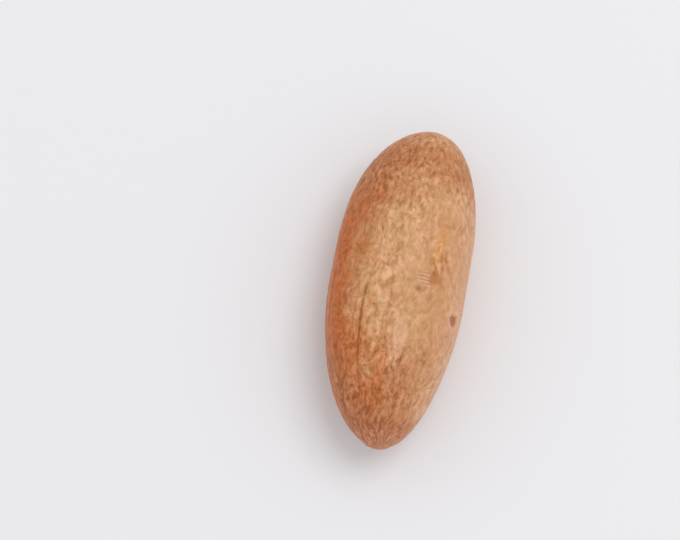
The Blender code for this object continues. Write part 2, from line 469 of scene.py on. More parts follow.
def vector(x, y, z):
    """Three values as one vector."""
    tree = next(part.tree for part in (x, y, z) if isinstance(part, Field))
    return Field(add_node(tree, "ShaderNodeCombineXYZ", {0: x, 1: y, 2: z}).outputs[0])


def constant(tree, values):
    """A fixed vector."""
    made = tree.nodes.new("FunctionNodeInputVector")
    made.vector = values
    return Field(made.outputs[0])


def body_point(direction, given):
    """Where a direction from the middle of the nut meets its smooth skin."""
    along, y, z = direction.parts()
    far = along.absolute()
    change = along.eased(-POWER_CHANGE, POWER_CHANGE)
    power = given["Narrow power"].toward(given["Broad power"], change)
    ring = (1 - far**power).at_least(0.0).root()
    across = (y * y + z * z).root()
    side = y / across
    up = z / across
    square = (side.absolute() ** BELLY_POWER + up.absolute() ** BELLY_POWER) ** (1 / BELLY_POWER)
    under = up.below(0.0)
    squeeze = 1 / (1 + (square - 1) * under)
    half_height = given["Height"] * (under * (1 - 2 * BACK_SHARE) + BACK_SHARE)
    lean = far**LEAN_POWER
    return vector(
        along * given["Length"] * 0.5,
        side * squeeze * ring * given["Width"] * 0.5 - given["Bend"] * lean,
        up * squeeze * ring * half_height + given["Tip lift"] * lean,
    )


def changed(geometry, kind, inputs=(), **settings):
    """The geometry after one more node that changes it."""
    made = add_node(geometry.tree, kind, {"Geometry": geometry, **dict(inputs)}, **settings)
    return Field(made.outputs["Geometry"])


def store(geometry, name, value, kind="FLOAT", domain="POINT"):
    """Keeps a value on the geometry under a name."""
    kept = {"Name": name, "Value": value}
    return changed(geometry, "GeometryNodeStoreNamedAttribute", kept, data_type=kind, domain=domain)


def stored(tree, name, kind="FLOAT"):
    """A value that the geometry carries under a name."""
    made = add_node(tree, "GeometryNodeInputNamedAttribute", {"Name": name}, data_type=kind)
    return Field(made.outputs["Attribute"])


def place_points(geometry, position):
    """Moves the points of the geometry to a position."""
    return changed(geometry, "GeometryNodeSetPosition", {"Position": position})


# Cells of the mesh along the nut and across each of its sides
CELLS_ALONG = 200
CELLS_ACROSS = 96

# Flat map of the coat, one unit wide and high: where the strips and the ends lie on it
STRIPS = 4
STRIP_LEFT = 0.008
STRIP_LENGTH = 0.612
STRIP_MARGIN = 0.02
END_LEFT = 0.64
END_WIDTH = 0.352
END_BOTTOM = 0.01
END_HEIGHT = 0.32
END_STEP = 0.34


def flat_map(box_place, facing):
    """Where each side of the box lies on the flat map: four long strips, two ends beside them."""
    x, y, z = box_place.parts()
    to_x, to_y, to_z = facing.parts()
    across = y * to_z.absolute() + z * to_y.absolute()
    strip = to_y.above(0.5) + 2 * to_z.below(-0.5) + 3 * to_y.below(-0.5)
    strip_u = STRIP_LEFT + STRIP_LENGTH * (x + 1) / 2
    strip_v = (strip + STRIP_MARGIN + (1 - 2 * STRIP_MARGIN) * (across + 1) / 2) / STRIPS
    end_u = END_LEFT + END_WIDTH * (y + 1) / 2
    end_v = END_BOTTOM + END_STEP * to_x.below(0.0) + END_HEIGHT * (z + 1) / 2
    end = to_x.absolute().above(0.5)
    return vector(strip_u.toward(end_u, end), strip_v.toward(end_v, end), 0.0)


def box_of_cells(tree, given, position, normal):
    """A box of cells with its flat map, and the direction that each point of it will lie in."""
    across_points = given["Cells across"] + 1
    box = add_node(
        tree,
        "GeometryNodeMeshCube",
        {
            "Size": (2.0, 2.0, 2.0),
            "Vertices X": given["Cells along"] + 1,
            "Vertices Y": across_points,
            "Vertices Z": across_points,
        },
    )
    skin = store(Field(box.outputs["Mesh"]), "box_place", position, "FLOAT_VECTOR")
    skin = store(skin, "facing", normal, "FLOAT_VECTOR", "FACE")
    box_place = stored(tree, "box_place", "FLOAT_VECTOR")
    facing = stored(tree, "facing", "FLOAT_VECTOR")
    skin = store(skin, "OFBake", flat_map(box_place, facing), "FLOAT2", "CORNER")
    for name in ("box_place", "facing"):
        skin = changed(skin, "GeometryNodeRemoveAttribute", {"Name": name})
    evenly = [(part * (math.pi / 4)).tangent() for part in position.parts()]
    return store(skin, "direction", vector(*evenly).unit(), "FLOAT_VECTOR")


def swell_height(along, turn, across_squared):
    """Height of the broad swells, which fade out towards both tips."""
    height = 0.0
    for swell, count, slant, phase in SWELLS:
        height = height + swell * across_squared * (count * turn + slant * along + phase).sine()
    return height


def keel_height(along, turn):
    """Height of the keel, which fades out at both of its ends."""
    full_turn = turn + turn.below(0.0) * math.tau
    offset = (full_turn - KEEL_TURN - along * KEEL_SLANT) / KEEL_SPREAD
    middle = (KEEL_FROM + KEEL_TO) / 2
    reach = along.eased(KEEL_FROM, middle) * (1 - along.eased(middle, KEEL_TO))
    return KEEL_HEIGHT * reach * offset.hill()


def furrow_and_lip(veins, given):
    """How much of a furrow a place has, and how much of the low lip beside one."""
    tree = veins.tree
    near = add_node(tree, "GeometryNodeProximity", {"Geometry": veins}, target_element="EDGES")
    nearest = add_node(tree, "GeometryNodeSampleNearest", {"Geometry": veins})
    sample = add_node(
        tree,
        "GeometryNodeSampleIndex",
        {
            "Geometry": veins,
            "Value": stored(tree, "strength"),
            "Index": Field(nearest.outputs["Index"]),
        },
    )
    away = Field(near.outputs["Distance"])
    strength = Field(sample.outputs["Value"])
    furrow = (away / given["Vein spread"]).hill() * strength
    lip = ((away - LIP_AWAY) / given["Vein spread"]).hill() * strength
    return furrow, lip


def scar_height(place, given):
    """Height round the scar: a shallow round dent with a low rim."""
    scar = body_point(constant(place.tree, vein_direction(0, 0)), given)
    away = place.distance(scar) / SCAR_RADIUS
    rim = ((away - SCAR_RIM_PLACE) / SCAR_RIM_SPREAD).hill()
    return SCAR_RIM * rim - SCAR_DEPTH * (1 - away.eased(SCAR_FLOOR, 1.0))


def pit_height(place, given):
    """Height in and round the pits: egg-shaped dents with a soft edge and a low rim."""
    height = 0.0
    for along, turn, half_length, half_width, depth in PITS:
        middle = body_point(constant(place.tree, place_direction(along, turn)), given)
        off_x, off_y, off_z = place.less(middle).parts()
        far_along = off_x / half_length
        width_here = half_width * (1 + PIT_TAPER * far_along.at_least(-1.0).at_most(1.0))
        far_round = (off_y * off_y + off_z * off_z).root() / width_here
        away = (far_along * far_along + far_round * far_round).root()
        rim = ((away - PIT_RIM_PLACE) / PIT_RIM_SPREAD).hill()
        height = height + depth * (PIT_RIM * rim - (1 - away.eased(PIT_FLOOR, 1.0)))
    return height


# Fibres and scribbled wrinkles: how many spots of their noises there are in a metre, how far the
# fibres swirl, how much they are drawn out along the nut, and how high they stand
SWIRLS_PER_METRE = 260.0
SWIRL_REACH = 0.0022
FIBRE_DRAW = 0.68
FIBRES_AT_TIPS = 0.5  # 0 draws the fibres to a point at the tips, 1 keeps them as wide there
STREAKS_PER_METRE = 1850.0
STREAK_CONTRAST = 4  # a noise keeps near its middle, so its heights are spread
SCRIBBLES_PER_METRE = 850.0
SCRIBBLE_WIDTH = 0.035
FIBRE_HEIGHT = 0.00003
WRINKLE_HEIGHT = 0.00003

# How much of those fine marks a place has. All places have the least share. Worn spots, both ends,
# the +Y flank and the underside have more, and both ends have most on their left side. An edge says
# where such a share begins to grow and where it is whole, and ragged how uneven that edge is.
MARKS_LEAST = 0.28
MARKS_WORN = 0.12
MARKS_AT_ENDS = 0.60
MARKS_AT_ENDS_LEFT = 0.10
MARKS_AT_ENDS_RIGHT = 0.24
MARKS_ON_FLANK = 0.38
WORN_PER_METRE = 300.0
WORN_SHIFT = (0.0, 0.07, 0.0)  # sets this noise apart from the others
WORN_EDGE = (0.36, 0.60)
ENDS_RAGGED = 0.7
ENDS_EDGE = (0.16, 0.62)
ENDS_LEFT_EDGE = (0.10, 0.70)
ENDS_RIGHT_EDGE = (0.05, 0.75)
MARKED_FLANK_EDGE = (-0.45, 0.30)
MARKED_UNDER_EDGE = (-0.25, 0.45)


def grain_place(direction, given):
    """Place on the coat as its fibres see it, which draw together a little towards the tips."""
    along, y, z = direction.parts()
    across = (y * y + z * z).root()
    ring = across**FIBRES_AT_TIPS
    return vector(
        along * given["Length"] * 0.5,
        y / across * ring * given["Width"] * 0.5,
        z / across * ring * given["Height"] * 0.5,
    )


def marked_share(grain, direction):
    """How much of the fine marks a place has: most at both ends, least on the -Y shoulder."""
    along, y, z = direction.parts()
    across = (y * y + z * z).root()
    side = y / across
    under = (-z / across).eased(*MARKED_UNDER_EDGE)
    worn = grain.moved(WORN_SHIFT).noise(WORN_PER_METRE)
    left = MARKS_AT_ENDS_LEFT * side.eased(*ENDS_LEFT_EDGE)
    right = MARKS_AT_ENDS_RIGHT * (-side).eased(*ENDS_RIGHT_EDGE)
    ends = along.absolute().ragged(worn, ENDS_RAGGED).eased(*ENDS_EDGE)
    ends = ends * (MARKS_AT_ENDS + left - right)
    flank = MARKS_ON_FLANK * side.eased(*MARKED_FLANK_EDGE).at_least(under)
    return MARKS_LEAST + MARKS_WORN * worn.eased(*WORN_EDGE) + ends.at_least(flank)


def coat_marks(grain):
    """Fine marks of the coat: streaks along its swirling fibres, and thin scribbled wrinkles."""
    swirl = grain.noise_vector(SWIRLS_PER_METRE, detail=1.0).less((0.5, 0.5, 0.5))
    drawn = grain.moved(swirl.scaled(SWIRL_REACH)).times((FIBRE_DRAW, 1.0, 1.0))
    streak = drawn.noise(STREAKS_PER_METRE, detail=1.0, roughness=0.7)
    scribble = (drawn.noise(SCRIBBLES_PER_METRE) - 0.5).absolute()
    return streak, 1 - scribble.eased(0.0, SCRIBBLE_WIDTH)


def levelled(skin, position, given):
    """Levels the lowest part of the underside, so that the nut lies still on a flat spot."""
    corners = add_node(skin.tree, "GeometryNodeBoundBox", {"Geometry": skin})
    _, _, lowest = Field(corners.outputs["Min"]).parts()
    x, y, z = position.parts()
    return place_points(skin, vector(x, y, z.at_least(lowest + given["Seat depth"])))


def fitted(skin, position, given):
    """Stretches the skin very slightly, until its box is the solid's own."""
    corners = add_node(skin.tree, "GeometryNodeBoundBox", {"Geometry": skin})
    low = Field(corners.outputs["Min"])
    high = Field(corners.outputs["Max"])
    share = position.less(low).over(high.less(low))
    reach = given["Highest corner"].less(given["Lowest corner"])
    return place_points(skin, given["Lowest corner"].moved(share.times(reach)))


# Inputs of the rule that makes the skin: its sizes with their values, the others with their kinds
SIZES = {
    "Length": LENGTH,
    "Width": WIDTH,
    "Height": HEIGHT,
    "Narrow power": NARROW_POWER,
    "Broad power": BROAD_POWER,
    "Bend": BEND,
    "Tip lift": TIP_LIFT,
    "Seat depth": SEAT_DEPTH,
    "Vein depth": VEIN_DEPTH,
    "Vein spread": VEIN_SPREAD,
    "Wrinkle height": WRINKLE_HEIGHT,
    "Fibre height": FIBRE_HEIGHT,
}
OTHER_INPUTS = {
    "Cells along": "NodeSocketInt",
    "Cells across": "NodeSocketInt",
    "Lowest corner": "NodeSocketVector",
    "Highest corner": "NodeSocketVector",
    "Vein lines": "NodeSocketObject",
    "Coat": "NodeSocketMaterial",
}


def rule_inputs(tree):
    """Gives the rule its named inputs, and returns each of them by name, as its nodes take it."""
    for name in SIZES:
        tree.interface.new_socket(name, in_out="INPUT", socket_type="NodeSocketFloat")
    for name, kind in OTHER_INPUTS.items():
        tree.interface.new_socket(name, in_out="INPUT", socket_type=kind)
    made = tree.nodes.new("NodeGroupInput")
    return {name: Field(made.outputs[name]) for name in (*SIZES, *OTHER_INPUTS)}


def skin_rule():
    """The rule that makes the nut's skin, from its sizes to its finest wrinkles."""
    tree = bpy.data.node_groups.new("nut_skin_rule", "GeometryNodeTree")
    tree.interface.new_socket("Skin", in_out="OUTPUT", socket_type="NodeSocketGeometry")
    given = rule_inputs(tree)
    position = Field(tree.nodes.new("GeometryNodeInputPosition").outputs[0])
    normal = Field(tree.nodes.new("GeometryNodeInputNormal").outputs[0])
    skin = box_of_cells(tree, given, position, normal)
    direction = stored(tree, "direction", "FLOAT_VECTOR")
    skin = store(skin, "grain", grain_place(direction, given), "FLOAT_VECTOR")
    grain = stored(tree, "grain", "FLOAT_VECTOR")
    skin = place_points(skin, body_point(direction, given))

    lines = add_node(tree, "GeometryNodeObjectInfo", {"Object": given["Vein lines"]})
    veins = place_points(Field(lines.outputs["Geometry"]), body_point(position, given))
    furrow, lip = furrow_and_lip(veins, given)
    pits = pit_height(position, given)
    along, y, z = direction.parts()
    turn = z.angle_from(y)
    relief = keel_height(along, turn) + scar_height(position, given) + pits
    relief = relief - given["Vein depth"] * furrow + LIP_HEIGHT * lip

    skin = store(skin, "marked", marked_share(grain, direction))
    marked = stored(tree, "marked")
    streak, scribble = coat_marks(grain)
    relief = relief + given["Fibre height"] * (streak - 0.5) * STREAK_CONTRAST * marked
    relief = relief - given["Wrinkle height"] * scribble * marked

    _, _, level = position.parts()
    seat_level = given["Height"] * (BACK_SHARE - 1) + given["Seat depth"]
    whole = (level - seat_level).eased(0.0, SEAT_FADE)
    skin = store(skin, "furrow", furrow * whole)
    skin = store(skin, "lip", lip * whole)
    skin = store(skin, "pitted", -pits / DEEPEST_PIT)
    height = swell_height(along, turn, y * y + z * z) + relief * whole
    skin = place_points(skin, position.moved(normal.scaled(height)))
    skin = levelled(skin, position, given)
    skin = fitted(skin, position, given)

    skin = changed(skin, "GeometryNodeSetShadeSmooth", {"Shade Smooth": True})
    skin = changed(skin, "GeometryNodeRealizeInstances")
    skin = changed(skin, "GeometryNodeSetMaterial", {"Material": given["Coat"]})
    add_node(tree, "NodeGroupOutput", {"Skin": skin})
    return tree


def make_skin(coat):
    """The nut's skin as a plain mesh, worked out by its rule."""
    tree = skin_rule()
    lines = lines_object("vein_lines", vein_lines())
    carrier = bpy.data.objects.new("carrier", bpy.data.meshes.new("carrier"))
    bpy.context.scene.collection.objects.link(carrier)
    modifier = carrier.modifiers.new("rule", "NODES")
    modifier.node_group = tree
    values = dict(SIZES)
    values["Cells along"] = CELLS_ALONG
    values["Cells across"] = CELLS_ACROSS
    values["Lowest corner"] = cad_box[0]
    values["Highest corner"] = cad_box[1]
    values["Vein lines"] = lines
    values["Coat"] = coat
    for socket in tree.interface.items_tree:
        if socket.in_out == "INPUT":
            modifier[socket.identifier] = values[socket.name]
    evaluated = carrier.evaluated_get(bpy.context.evaluated_depsgraph_get())
    mesh = bpy.data.meshes.new_from_object(evaluated)
    mesh.name = "nut_skin"
    skin = bpy.data.objects.new("nut_skin", mesh)
    bpy.context.scene.collection.objects.link(skin)
    bpy.data.objects.remove(carrier)
    bpy.data.objects.remove(lines)
    return skin


def paint(red, green, blue):
    """A colour given on the everyday scale from 0 to 255, as the shader takes it."""
    linear = []
    for part in (red, green, blue):
        share = part / 255
        linear.append(share / 12.92 if share <= 0.04045 else ((share + 0.055) / 1.055) ** 2.4)
    return (*linear, 1.0)


# Colours of the coat
PINK_TAN = paint(215, 160, 117)
OLIVE_TAN = paint(205, 156, 108)
MID_BROWN = paint(188, 122, 74)
HEAD_BROWN = paint(184, 116, 70)
# Orange-brown: partly the coat's own colour, partly painted shade and warm bounce light on the +Y
# flank
ORANGE_BROWN_AND_SHADE = paint(188, 94, 28)
TAIL_BROWN = paint(184, 116, 74)
TIP_BROWN = paint(172, 102, 66)
TIP_PINK = paint(196, 132, 98)
GOLDEN = paint(200, 136, 74)
OCHRE = paint(214, 140, 66)
RUST = paint(176, 104, 52)
DARK_OLIVE = paint(150, 104, 62)
# Painted light: paler colour of the -Y side, for sheen and light thrown up from the floor
PAINTED_LIGHT_PALE = paint(212, 160, 124)
PALE_PINK = paint(220, 168, 132)
DUST = paint(238, 206, 186)
# Brown of the pits and of the scored marks; in the pits it is partly painted shade of the hollow
PIT_BROWN_AND_SHADE = paint(144, 72, 40)

# Noises that spread and roughen the colours, in spots for each metre
CLOUDS_PER_METRE = 260.0
PATCHES_PER_METRE = 620.0
TINTS_PER_METRE = 560.0
TINT_SHIFT = (0.05, 0.0, 0.0)  # sets this noise apart from the others
PAPER_PER_METRE = 2600.0

# In what follows, an edge says where a colour begins and where it is whole, ragged how uneven that
# edge is, share how strong the colour is, and fade how much of it is lost. An edge along the nut
# goes from 0 in the middle to 1 at the tip of the end that it is for. An edge round it is an angle
# from the top, in radians.

# Tan ground, pink and olive in turns, with clouds of brown
OLIVE_EDGE = (0.42, 0.58)
CLOUD_EDGE = (0.52, 0.68)
CLOUD_SHARE = 0.45

# Orange-brown +Y flank, partly the coat's own colour and partly painted shade and warm bounce light
# that darken that side. It starts nearer to the top at both ends, and is browner at the broad one.
# Its edge is counted from that start.
FLANK_START = 0.72
FLANK_HEAD_RISE = 0.34
FLANK_HEAD_EDGE = (0.26, 0.46)
FLANK_TAIL_RISE = 0.18
FLANK_TAIL_EDGE = (0.0, 0.45)
FLANK_RAGGED = 0.8
FLANK_EDGE = (-0.36, 0.40)
FLANK_SHARE = 0.90
FLANK_END_FADE = 0.35
FLANK_END_EDGE = (0.70, 0.90)
FLANK_BROWN_EDGE = (0.25, 0.65)
FLANK_BROWN_SHARE = 0.8

# Golden band above that flank, which ends before the broad end
GOLDEN_ABOVE = 0.14
GOLDEN_RAGGED = 0.6
GOLDEN_SPREAD = 0.22
GOLDEN_END_EDGE = (0.10, 0.50)
GOLDEN_SHARE = 0.36

# Brown underside. Its edge is the sine of the angle below the widest level.
UNDER_RAGGED = 0.8
UNDER_EDGE = (-0.15, 0.75)
UNDER_SHARE = 0.6

# Painted light: the -Y side painted paler for sheen and light from the floor, ending before the
# broad end
PAINTED_LIGHT_RAGGED = 0.5
PAINTED_LIGHT_EDGE = (0.50, 1.15)
PAINTED_LIGHT_END_EDGE = (0.45, 0.75)
PAINTED_LIGHT_UNDER_FADE = 0.6
PAINTED_LIGHT_SHARE = 0.75

# Faint brown along the -Y shoulder, most in the narrow half
SHOULDER_MIDDLE = 0.64
SHOULDER_RAGGED = 0.4
SHOULDER_SPREAD = 0.24
SHOULDER_END_EDGE = (0.15, 0.75)
SHOULDER_SHARE = 0.22

# Brown broad end, paler at its very tip
HEAD_RAGGED = 0.4
HEAD_EDGE = (0.47, 0.79)
HEAD_END_FADE = 0.6
HEAD_END_EDGE = (0.80, 0.96)
HEAD_SHARE = 0.75

# Brown narrow end, weaker on both sides and under the painted light, with a darker tip and a pink
# point
TAIL_RAGGED = 0.6
TAIL_EDGE = (0.30, 0.68)
TAIL_RIGHT_FADE = 0.4
TAIL_RIGHT_EDGE = (0.2, 0.7)
TAIL_PAINTED_LIGHT_FADE = 0.85
TAIL_LEFT_FADE = 0.35
TAIL_LEFT_EDGE = (0.85, 1.40)
TAIL_SHARE = 0.85
TIP_RAGGED = 0.2
TIP_EDGE = (0.74, 0.90)
TIP_SHARE = 0.6
POINT_EDGE = (0.86, 0.97)
POINT_SHARE = 0.7

# Single patches, from the lowest coat of colour to the highest: colour, place along the nut,
# degrees from the top towards -Y, how far the patch reaches along and round, and share
PATCHES = (
    # The orange-brown patches are partly painted shade, as the flank is
    (ORANGE_BROWN_AND_SHADE, -0.72, -12, 0.12, 22, 0.40),
    (ORANGE_BROWN_AND_SHADE, -0.48, -40, 0.18, 28, 0.35),
    (ORANGE_BROWN_AND_SHADE, -0.52, -3, 0.13, 13, 0.40),
    (HEAD_BROWN, 0.53, -12, 0.09, 24, 0.50),
    (HEAD_BROWN, 0.70, 28, 0.13, 22, 0.40),
    (HEAD_BROWN, 0.55, 9, 0.06, 12, 0.30),
    (PINK_TAN, -0.59, -17, 0.07, 9, 0.35),
    (PINK_TAN, -0.24, -37, 0.10, 9, 0.35),
    (PALE_PINK, -0.42, 9, 0.14, 9, 0.60),
    (OCHRE, 0.24, 31, 0.16, 6, 0.32),
    (RUST, 0.02, 32, 0.05, 8, 0.62),
    (DARK_OLIVE, -0.055, 19, 0.03, 5, 0.45),
)
PATCH_RAGGED = 1.6
PATCH_EDGE = (0.55, 1.25)

# Pale spot with short brown marks across it, and a rough spot where the fine marks are stronger.
# Both are given as the patches are, from place to reach.
SCORED_SPOT = (0.007, 21, 0.045, 7)
SCORED_PALE_SHARE = 0.40
SCORES_ALONG = 290.0
SCORES_WANDER = 4
SCORE_EDGE = (0.0, 0.8)
SCORE_SHARE = 0.45
ROUGH_SPOT = (0.14, 33, 0.10, 9)
ROUGH_SPOT_MARKS = 0.5

# How much lighter or darker the fine marks, furrows, lips and rims of pits are than the coat. Much
# of it is painted light and shade of the relief: darker furrows, wrinkles and pits, lighter lips
# and pit rims, and streaks lighter on raised fibres and darker between, partly their own colour.
STREAK_COLOUR_LIGHT_AND_SHADE = 0.26
PALE_STREAK_EDGE = (0.52, 0.66)
DARK_STREAK_EDGE = (0.34, 0.48)
SCRIBBLE_SHADE = 0.18
FURROW_SHADE = 0.12
LIP_LIGHT = 0.06
PIT_RIM_LIGHT = 0.35
PIT_SHADE_EDGE = (0.1, 0.7)
PIT_SHADE_SHARE = 0.6
GREEN_TONE = 1.42  # green and blue change more than red does, so what is darker is also redder
BLUE_TONE = 2.1

# Finish of the coat
COAT_ROUGHNESS = 0.52
CLOUD_ROUGHNESS = 0.16
COAT_GLOSS = 0.3
COAT_SHEEN = 0.45
COAT_SHEEN_ROUGHNESS = 0.35
PAPER_BUMP = 0.6
PAPER_HEIGHT = 0.00006


def fixed_colour(tree, colour):
    """The same colour everywhere."""
    made = tree.nodes.new("ShaderNodeRGB")
    made.outputs[0].default_value = colour
    return Field(made.outputs[0])


# Sockets of a Mix node for colours, by number, because several of its sockets share a name
MIX_SHARE = 0
MIX_UNDER = 6
MIX_OVER = 7
MIX_RESULT = 2


def painted_over(colour, over, share):
    """The colour with another one laid over it where the share is 1."""
    inputs = {MIX_SHARE: share, MIX_UNDER: colour, MIX_OVER: over}
    made = add_node(share.tree, "ShaderNodeMix", inputs, data_type="RGBA")
    return Field(made.outputs[MIX_RESULT])


def toned(colour, amount):
    """The colour made lighter, or darker and redder where the amount is below 0."""
    return colour.times(vector(1 + amount, 1 + GREEN_TONE * amount, 1 + BLUE_TONE * amount))


def carried(tree, name, output="Fac"):
    """A value that the mesh carries under a name, for the coat's material."""
    return Field(add_node(tree, "ShaderNodeAttribute", attribute_name=name).outputs[output])


class CoatPlace:
    """Where a point of the coat lies, with the noises that make the colours there uneven.

    Roll and side are both angles from the top towards -Y, but side turns back below the widest
    level. Under says how far the point lies on the underside, and the painted light how far the
    -Y side is painted paler there, standing for sheen and light from the floor.
    """

    def __init__(self, tree):
        self.tree = tree
        self.grain = carried(tree, "grain", "Vector")
        self.along, y, z = carried(tree, "direction", "Vector").parts()
        across = (y * y + z * z).root()
        self.roll = (-y).angle_from(z)
        self.side = (-y / across).arcsine()
        self.cloud = self.grain.noise(CLOUDS_PER_METRE, detail=3.0)
        self.patchy = self.grain.noise(PATCHES_PER_METRE)
        self.under = (-z / across).ragged(self.patchy, UNDER_RAGGED).eased(*UNDER_EDGE)
        # Painted light: where the -Y side is painted paler, for sheen and light from the floor
        painted_light = self.side.ragged(self.patchy, PAINTED_LIGHT_RAGGED).eased(*PAINTED_LIGHT_EDGE)
        painted_light = painted_light * (1 - self.along.eased(*PAINTED_LIGHT_END_EDGE))
        self.painted_light = painted_light * (1 - PAINTED_LIGHT_UNDER_FADE * self.under)

    def patch(self, along, roll, reach_along, reach_roll):
        """1 at a spot of the coat, fading out with an uneven edge. Its rolls are in degrees."""
        far_along = (self.along - along) / reach_along
        far_roll = (self.roll - math.radians(roll)) / math.radians(reach_roll)
        far = (far_along * far_along + far_roll * far_roll).root()
        return 1 - far.ragged(self.patchy, PATCH_RAGGED).eased(*PATCH_EDGE)


def tan_ground(place):
    """The colour under all others."""
    tint = place.grain.moved(TINT_SHIFT).noise(TINTS_PER_METRE)
    colour = fixed_colour(place.tree, PINK_TAN)
    colour = painted_over(colour, OLIVE_TAN, tint.eased(*OLIVE_EDGE))
    return painted_over(colour, MID_BROWN, place.cloud.eased(*CLOUD_EDGE) * CLOUD_SHARE)


def with_flank_and_painted_shade(colour, place):
    """Adds the golden band and the orange-brown +Y flank below it, partly painted shade."""
    start = FLANK_START - FLANK_HEAD_RISE * place.along.eased(*FLANK_HEAD_EDGE)
    start = start - FLANK_TAIL_RISE * (-place.along).eased(*FLANK_TAIL_EDGE)
    golden = (GOLDEN_ABOVE - place.side - start).ragged(place.patchy, GOLDEN_RAGGED)
    golden = (golden / GOLDEN_SPREAD).hill() * (1 - place.along.eased(*GOLDEN_END_EDGE))
    colour = painted_over(colour, GOLDEN, golden * GOLDEN_SHARE)
    # Painted shade, with the coat's own orange-brown: the +Y flank
    flank = (-place.side - start).ragged(place.patchy, FLANK_RAGGED).eased(*FLANK_EDGE)
    flank = flank * (FLANK_SHARE - FLANK_END_FADE * place.along.eased(*FLANK_END_EDGE))
    brown = place.along.eased(*FLANK_BROWN_EDGE) * FLANK_BROWN_SHARE
    flank_colour = painted_over(fixed_colour(place.tree, ORANGE_BROWN_AND_SHADE), HEAD_BROWN, brown)
    return painted_over(colour, flank_colour, flank)


def with_underside_and_painted_light(colour, place):
    """Adds the brown underside, the painted light of the -Y side and its faint brown shoulder."""
    colour = painted_over(colour, MID_BROWN, place.under * UNDER_SHARE)
    # Painted light on the -Y side
    colour = painted_over(colour, PAINTED_LIGHT_PALE, place.painted_light * PAINTED_LIGHT_SHARE)
    shoulder = (place.side - SHOULDER_MIDDLE).ragged(place.patchy, SHOULDER_RAGGED)
    shoulder = (shoulder / SHOULDER_SPREAD).hill() * (1 - place.along.eased(*SHOULDER_END_EDGE))
    return painted_over(colour, MID_BROWN, shoulder * SHOULDER_SHARE)


def with_ends(colour, place):
    """Adds the browns of both ends. That of the narrow end keeps off the painted light of the -Y
    side.
    """
    head = place.along.ragged(place.cloud, HEAD_RAGGED).eased(*HEAD_EDGE)
    head = head * (1 - HEAD_END_FADE * place.along.eased(*HEAD_END_EDGE))
    colour = painted_over(colour, HEAD_BROWN, head * HEAD_SHARE)
    tail = (-place.along).ragged(place.cloud, TAIL_RAGGED).eased(*TAIL_EDGE)
    tail = tail * (1 - TAIL_RIGHT_FADE * place.side.eased(*TAIL_RIGHT_EDGE))
    # The brown keeps off the painted light of the -Y side
    tail = tail * (1 - TAIL_PAINTED_LIGHT_FADE * place.painted_light)
    tail = tail * (1 - TAIL_LEFT_FADE * (-place.side).eased(*TAIL_LEFT_EDGE))
    colour = painted_over(colour, TAIL_BROWN, tail * TAIL_SHARE)
    tip = (-place.along).ragged(place.cloud, TIP_RAGGED).eased(*TIP_EDGE)
    colour = painted_over(colour, TIP_BROWN, tip * TIP_SHARE)
    point = (-place.along).eased(*POINT_EDGE)
    return painted_over(colour, TIP_PINK, point * POINT_SHARE)


def with_patches(colour, place):
    """Adds the single patches, and the spot with marks across it."""
    for over, along, roll, reach_along, reach_roll, share in PATCHES:
        patch = place.patch(along, roll, reach_along, reach_roll)
        colour = painted_over(colour, over, patch * share)
    spot = place.patch(*SCORED_SPOT)
    scores = (place.along * SCORES_ALONG + place.patchy * SCORES_WANDER).sine()
    colour = painted_over(colour, PALE_PINK, spot * SCORED_PALE_SHARE)
    return painted_over(colour, PIT_BROWN_AND_SHADE, scores.eased(*SCORE_EDGE) * spot * SCORE_SHARE)


def with_marks(colour, place):
    """Tones the colour by the streaks, scribbles, furrows, lips and pits: largely painted light and
    shade.
    """
    streak, scribble = coat_marks(place.grain)
    marked = carried(place.tree, "marked") + place.patch(*ROUGH_SPOT) * ROUGH_SPOT_MARKS
    # Streaks: partly the fibres' own colour, partly painted light on them and painted shade between
    colour = toned(colour, STREAK_COLOUR_LIGHT_AND_SHADE * streak.eased(*PALE_STREAK_EDGE) * marked)
    colour = toned(colour, -STREAK_COLOUR_LIGHT_AND_SHADE * (1 - streak.eased(*DARK_STREAK_EDGE)) * marked)
    # Painted shade in the wrinkles
    colour = toned(colour, -SCRIBBLE_SHADE * scribble * marked)
    furrow = carried(place.tree, "furrow")
    # Painted shade in the furrows
    colour = toned(colour, -FURROW_SHADE * furrow * furrow)
    # Painted light on the raised lips
    colour = toned(colour, LIP_LIGHT * carried(place.tree, "lip"))
    # Painted light on the raised rims of the pits, and in the pits their brown, partly painted
    # shade
    pitted = carried(place.tree, "pitted")
    colour = toned(colour, PIT_RIM_LIGHT * (-pitted).at_least(0.0))
    return painted_over(colour, PIT_BROWN_AND_SHADE, pitted.eased(*PIT_SHADE_EDGE) * PIT_SHADE_SHARE)


def coat_material():
    """Dry papery coat: tan on top, +Y orange-brown with painted shade, -Y painted light, browner
    ends.
    """
    material = bpy.data.materials.new("seed_coat")
    material.use_nodes = True
    tree = material.node_tree
    shader = tree.nodes["Principled BSDF"]
    place = CoatPlace(tree)
    colour = tan_ground(place)
    for add_colours in (with_flank_and_painted_shade, with_underside_and_painted_light, with_ends, with_patches, with_marks):
        colour = add_colours(colour, place)
    tree.links.new(colour.socket, shader.inputs["Base Color"])

    roughness = COAT_ROUGHNESS + CLOUD_ROUGHNESS * place.cloud
    tree.links.new(roughness.socket, shader.inputs["Roughness"])
    shader.inputs["Specular IOR Level"].default_value = COAT_GLOSS
    shader.inputs["Sheen Weight"].default_value = COAT_SHEEN
    shader.inputs["Sheen Roughness"].default_value = COAT_SHEEN_ROUGHNESS
    shader.inputs["Sheen Tint"].default_value = DUST

    paper = place.grain.noise(PAPER_PER_METRE, detail=4.0, roughness=0.65)
    relief = {"Strength": PAPER_BUMP, "Distance": PAPER_HEIGHT, "Height": paper}
    bump = add_node(tree, "ShaderNodeBump", relief)
    tree.links.new(bump.outputs["Normal"], shader.inputs["Normal"])
    return material


